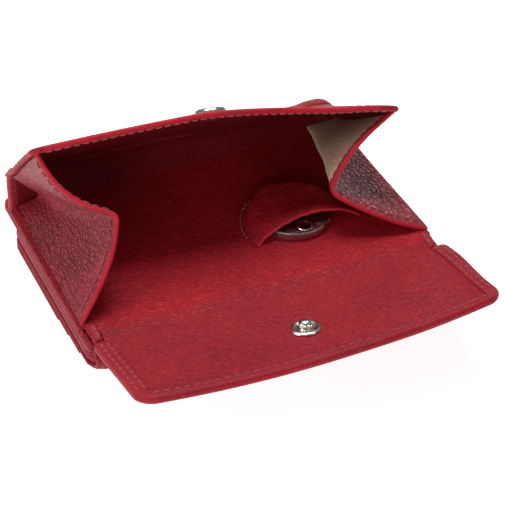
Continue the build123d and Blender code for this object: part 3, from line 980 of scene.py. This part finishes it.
def gussets():
    for label, shape in gusset_lines.items():
        side = shape["side"]

        def place(x, y):
            return gusset_place(shape, x, y)

        def turned(x, y):
            """The leather is turned over the lining along the front edge."""
            return mix(0.9 * mm, 0.0, ease(gusset_deep - x, 2.2 * mm, 2.7 * mm))

        outer = Sheet(place, 0.55 * mm, turned, flip=side > 0)
        inner = Sheet(place, -0.01 * mm, 0.5 * mm, flip=side > 0)
        halves = (("lower", (0.0, gusset_tall)), ("upper", (gusset_tall, 2 * gusset_tall)))
        steps = [gusset_deep - d * mm for d in (1.4, 1.8, 2.2, 2.45, 2.7, 3.2)]
        for half, span in halves:
            # The right lower gusset takes the lighter copy of the gusset leather, with painted highlight.
            skin = "folded_gusset" if label == "right" and half == "lower" else "gusset"
            made = panel(f"{label}_{half}_gusset_leather", outer, (0, gusset_deep), span, skin,
                         rims="xX", spacing=1.1 * mm, extra_x=steps, rim=0.75 * mm)
            covered = (span[0], span[1] - (0.9 * mm if half == "upper" else 0))
            lining = panel(f"{label}_{half}_gusset_lining_cloth", inner, (0.3 * mm, gusset_deep - 2.0 * mm),
                           covered, "lining", rims="", spacing=1.6 * mm)
            low, high = span
            sewn_path = line((0, low + 1.2 * mm), (0, high - 1.2 * mm))
            seam = [outer.top(gusset_deep - 2.5 * mm, y, 0.08 * mm) for _, y in sewn_path]
            sewn = stitches(f"{label}_{half}_gusset_seam", seam)
            seam = [outer.bottom(gusset_deep - 1.9 * mm, y, 0.05 * mm) for _, y in sewn_path]
            sewn_inside = stitches(f"{label}_{half}_gusset_seam_inside", seam)
            edge_path = line((0, low), (0, high), 48)
            edge = [outer.at(gusset_deep - 0.35 * mm, y, -0.18 * mm) for _, y in edge_path]
            roll = tube(f"{label}_{half}_gusset_rolled_edge", edge, 0.62 * mm, "rim")
            if half == "upper":
                with_lid(made, f"{label}_upper_gusset")
                with_lid(lining, f"{label}_upper_gusset_lining")
                for thing in (sewn, sewn_inside, roll):
                    with_lid(thing)
            else:
                for thing in (made, lining, sewn, sewn_inside, roll):
                    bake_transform(thing)
                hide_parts(f"{label}_lower_gusset")
                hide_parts(f"{label}_lower_gusset_lining")


# Snap
def snap():
    up = Vector((0, math.sin(flap_rise), math.cos(flap_rise)))
    reach = 23.4 * mm
    centre = front_profile(snap_x, neck + reach)
    post = [(0, 2.75), (0.7, 2.72), (1.35, 2.5), (1.75, 2.1), (1.9, 1.65), (1.8, 1.2), (1.6, 0.85),
            (1.75, 0.62), (2.3, 0.50), (2.75, 0.55), (3.1, 0.78), (3.5, 0.86), (3.9, 0.72), (4.1, 0.35),
            (4.0, -0.1), (0, -0.1)]
    made = lathe("snap_stud_post", [(r * mm, h * mm) for r, h in post], centre, up, "nickel")
    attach(made, "flap")
    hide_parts("snap_stud")
    cap = [(0, -2.75), (2.2, -2.7), (3.9, -2.35), (4.8, -1.9), (5.0, -1.55), (4.6, -1.4), (0, -1.4)]
    made = lathe("snap_cap_dome", [(r * mm, h * mm) for r, h in cap], centre, up, "nickel")
    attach(made, "flap")
    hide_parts("snap_cap")

    across = (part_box("snap_socket")[0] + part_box("snap_socket")[1]) / 2
    flat_lid_length = 40.5 * mm
    along = math.hypot(hinge.y - across.y, across.z - hinge.z) * lid_length / flat_lid_length
    sheet = Sheet(lid_place, 0.72 * mm, 0.75 * mm, flip=True)
    top = sheet.top(snap_x, along)
    up = sheet.normal(snap_x, along)
    ring = [(2.7, -0.2), (2.7, 0.95), (2.95, 1.3), (3.4, 1.5), (4.0, 1.42), (4.6, 1.1), (4.95, 0.6),
            (5.05, 0.1), (4.9, -0.2)]
    made = lathe("snap_socket_ring", [(r * mm, h * mm) for r, h in ring], top, up, "nickel")
    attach(made, "lid")
    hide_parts("snap_socket")
    under = sheet.bottom(snap_x, along, -0.18 * mm)
    rivet = [(0, 0.34), (1.5, 0.33), (3.1, 0.24), (3.9, 0.06), (4.0, -0.1), (3.6, -0.2), (0, -0.2)]
    made = lathe("socket_rivet_head", [(r * mm, h * mm) for r, h in rivet], under, -up, "nickel")
    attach(made, "lid")
    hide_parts("socket_rivet")


# Studio
def lamp(name, place, size, power, colour=(1, 1, 1)):
    light = bpy.data.lights.new(name, "AREA")
    light.shape = "RECTANGLE"
    light.size, light.size_y = size
    light.energy = power
    light.color = colour
    made = bpy.data.objects.new(name, light)
    made.location = place
    made.rotation_euler = (Vector((0, 0, 0.02)) - Vector(place)).to_track_quat("-Z", "Y").to_euler()
    bpy.context.scene.collection.objects.link(made)


def studio():
    mesh = bmesh.new()
    bmesh.ops.create_grid(mesh, x_segments=1, y_segments=1, size=6.0)
    data = bpy.data.meshes.new("studio_floor")
    mesh.to_mesh(data)
    mesh.free()
    ground = bpy.data.objects.new("studio_floor", data)
    ground.location.z = cad_low.z - 0.1 * mm
    bpy.context.scene.collection.objects.link(ground)
    paper = Finish("pale_paper", roughness=0.9)
    shade = paper.clouds(paper.place(), 8.0)
    paper.paint(base_color=paper.blend(shade, (0.58, 0.58, 0.58, 1), (0.62, 0.62, 0.62, 1)))
    paper.shader.inputs["Emission Color"].default_value = (1, 1, 1, 1)
    paper.shader.inputs["Emission Strength"].default_value = 0.80
    data.materials.append(paper.material)
    world = bpy.data.worlds.new("studio_air")
    bpy.context.scene.world = world
    world.use_nodes = True
    world.node_tree.nodes["Background"].inputs["Color"].default_value = (1, 1, 1, 1)
    world.node_tree.nodes["Background"].inputs["Strength"].default_value = 0.15
    lamp("top_softbox", (0.10, 0.38, 0.80), (0.50, 0.40), 9.2)
    lamp("left_softbox", (-0.80, 0.05, 0.30), (0.5, 0.5), 2.4)
    lamp("front_softbox", (0.35, -0.75, 0.30), (0.6, 0.4), 1.2)
    lamp("low_softbox", (-0.42, -0.56, 0.20), (0.35, 0.2), 2.0)
    bpy.context.scene.view_settings.view_transform = "Standard"


def camera():
    data = bpy.data.cameras.new("camera")
    data.lens = 135.0
    data.shift_x = -0.027
    data.shift_y = 0.0344
    made = bpy.data.objects.new("camera", data)
    made.location = (-0.1726, -0.3844, 0.3446)
    made.rotation_euler = Euler([math.radians(a) for a in (50.44, -1.25, -24.81)])
    bpy.context.scene.collection.objects.link(made)
    bpy.context.scene.camera = made


studio()
camera()
card_section()
spine()
base()
side_welts()
front_leathers()
chip_pocket()
chip()
lid()
rear_wall()
gussets()
snap()
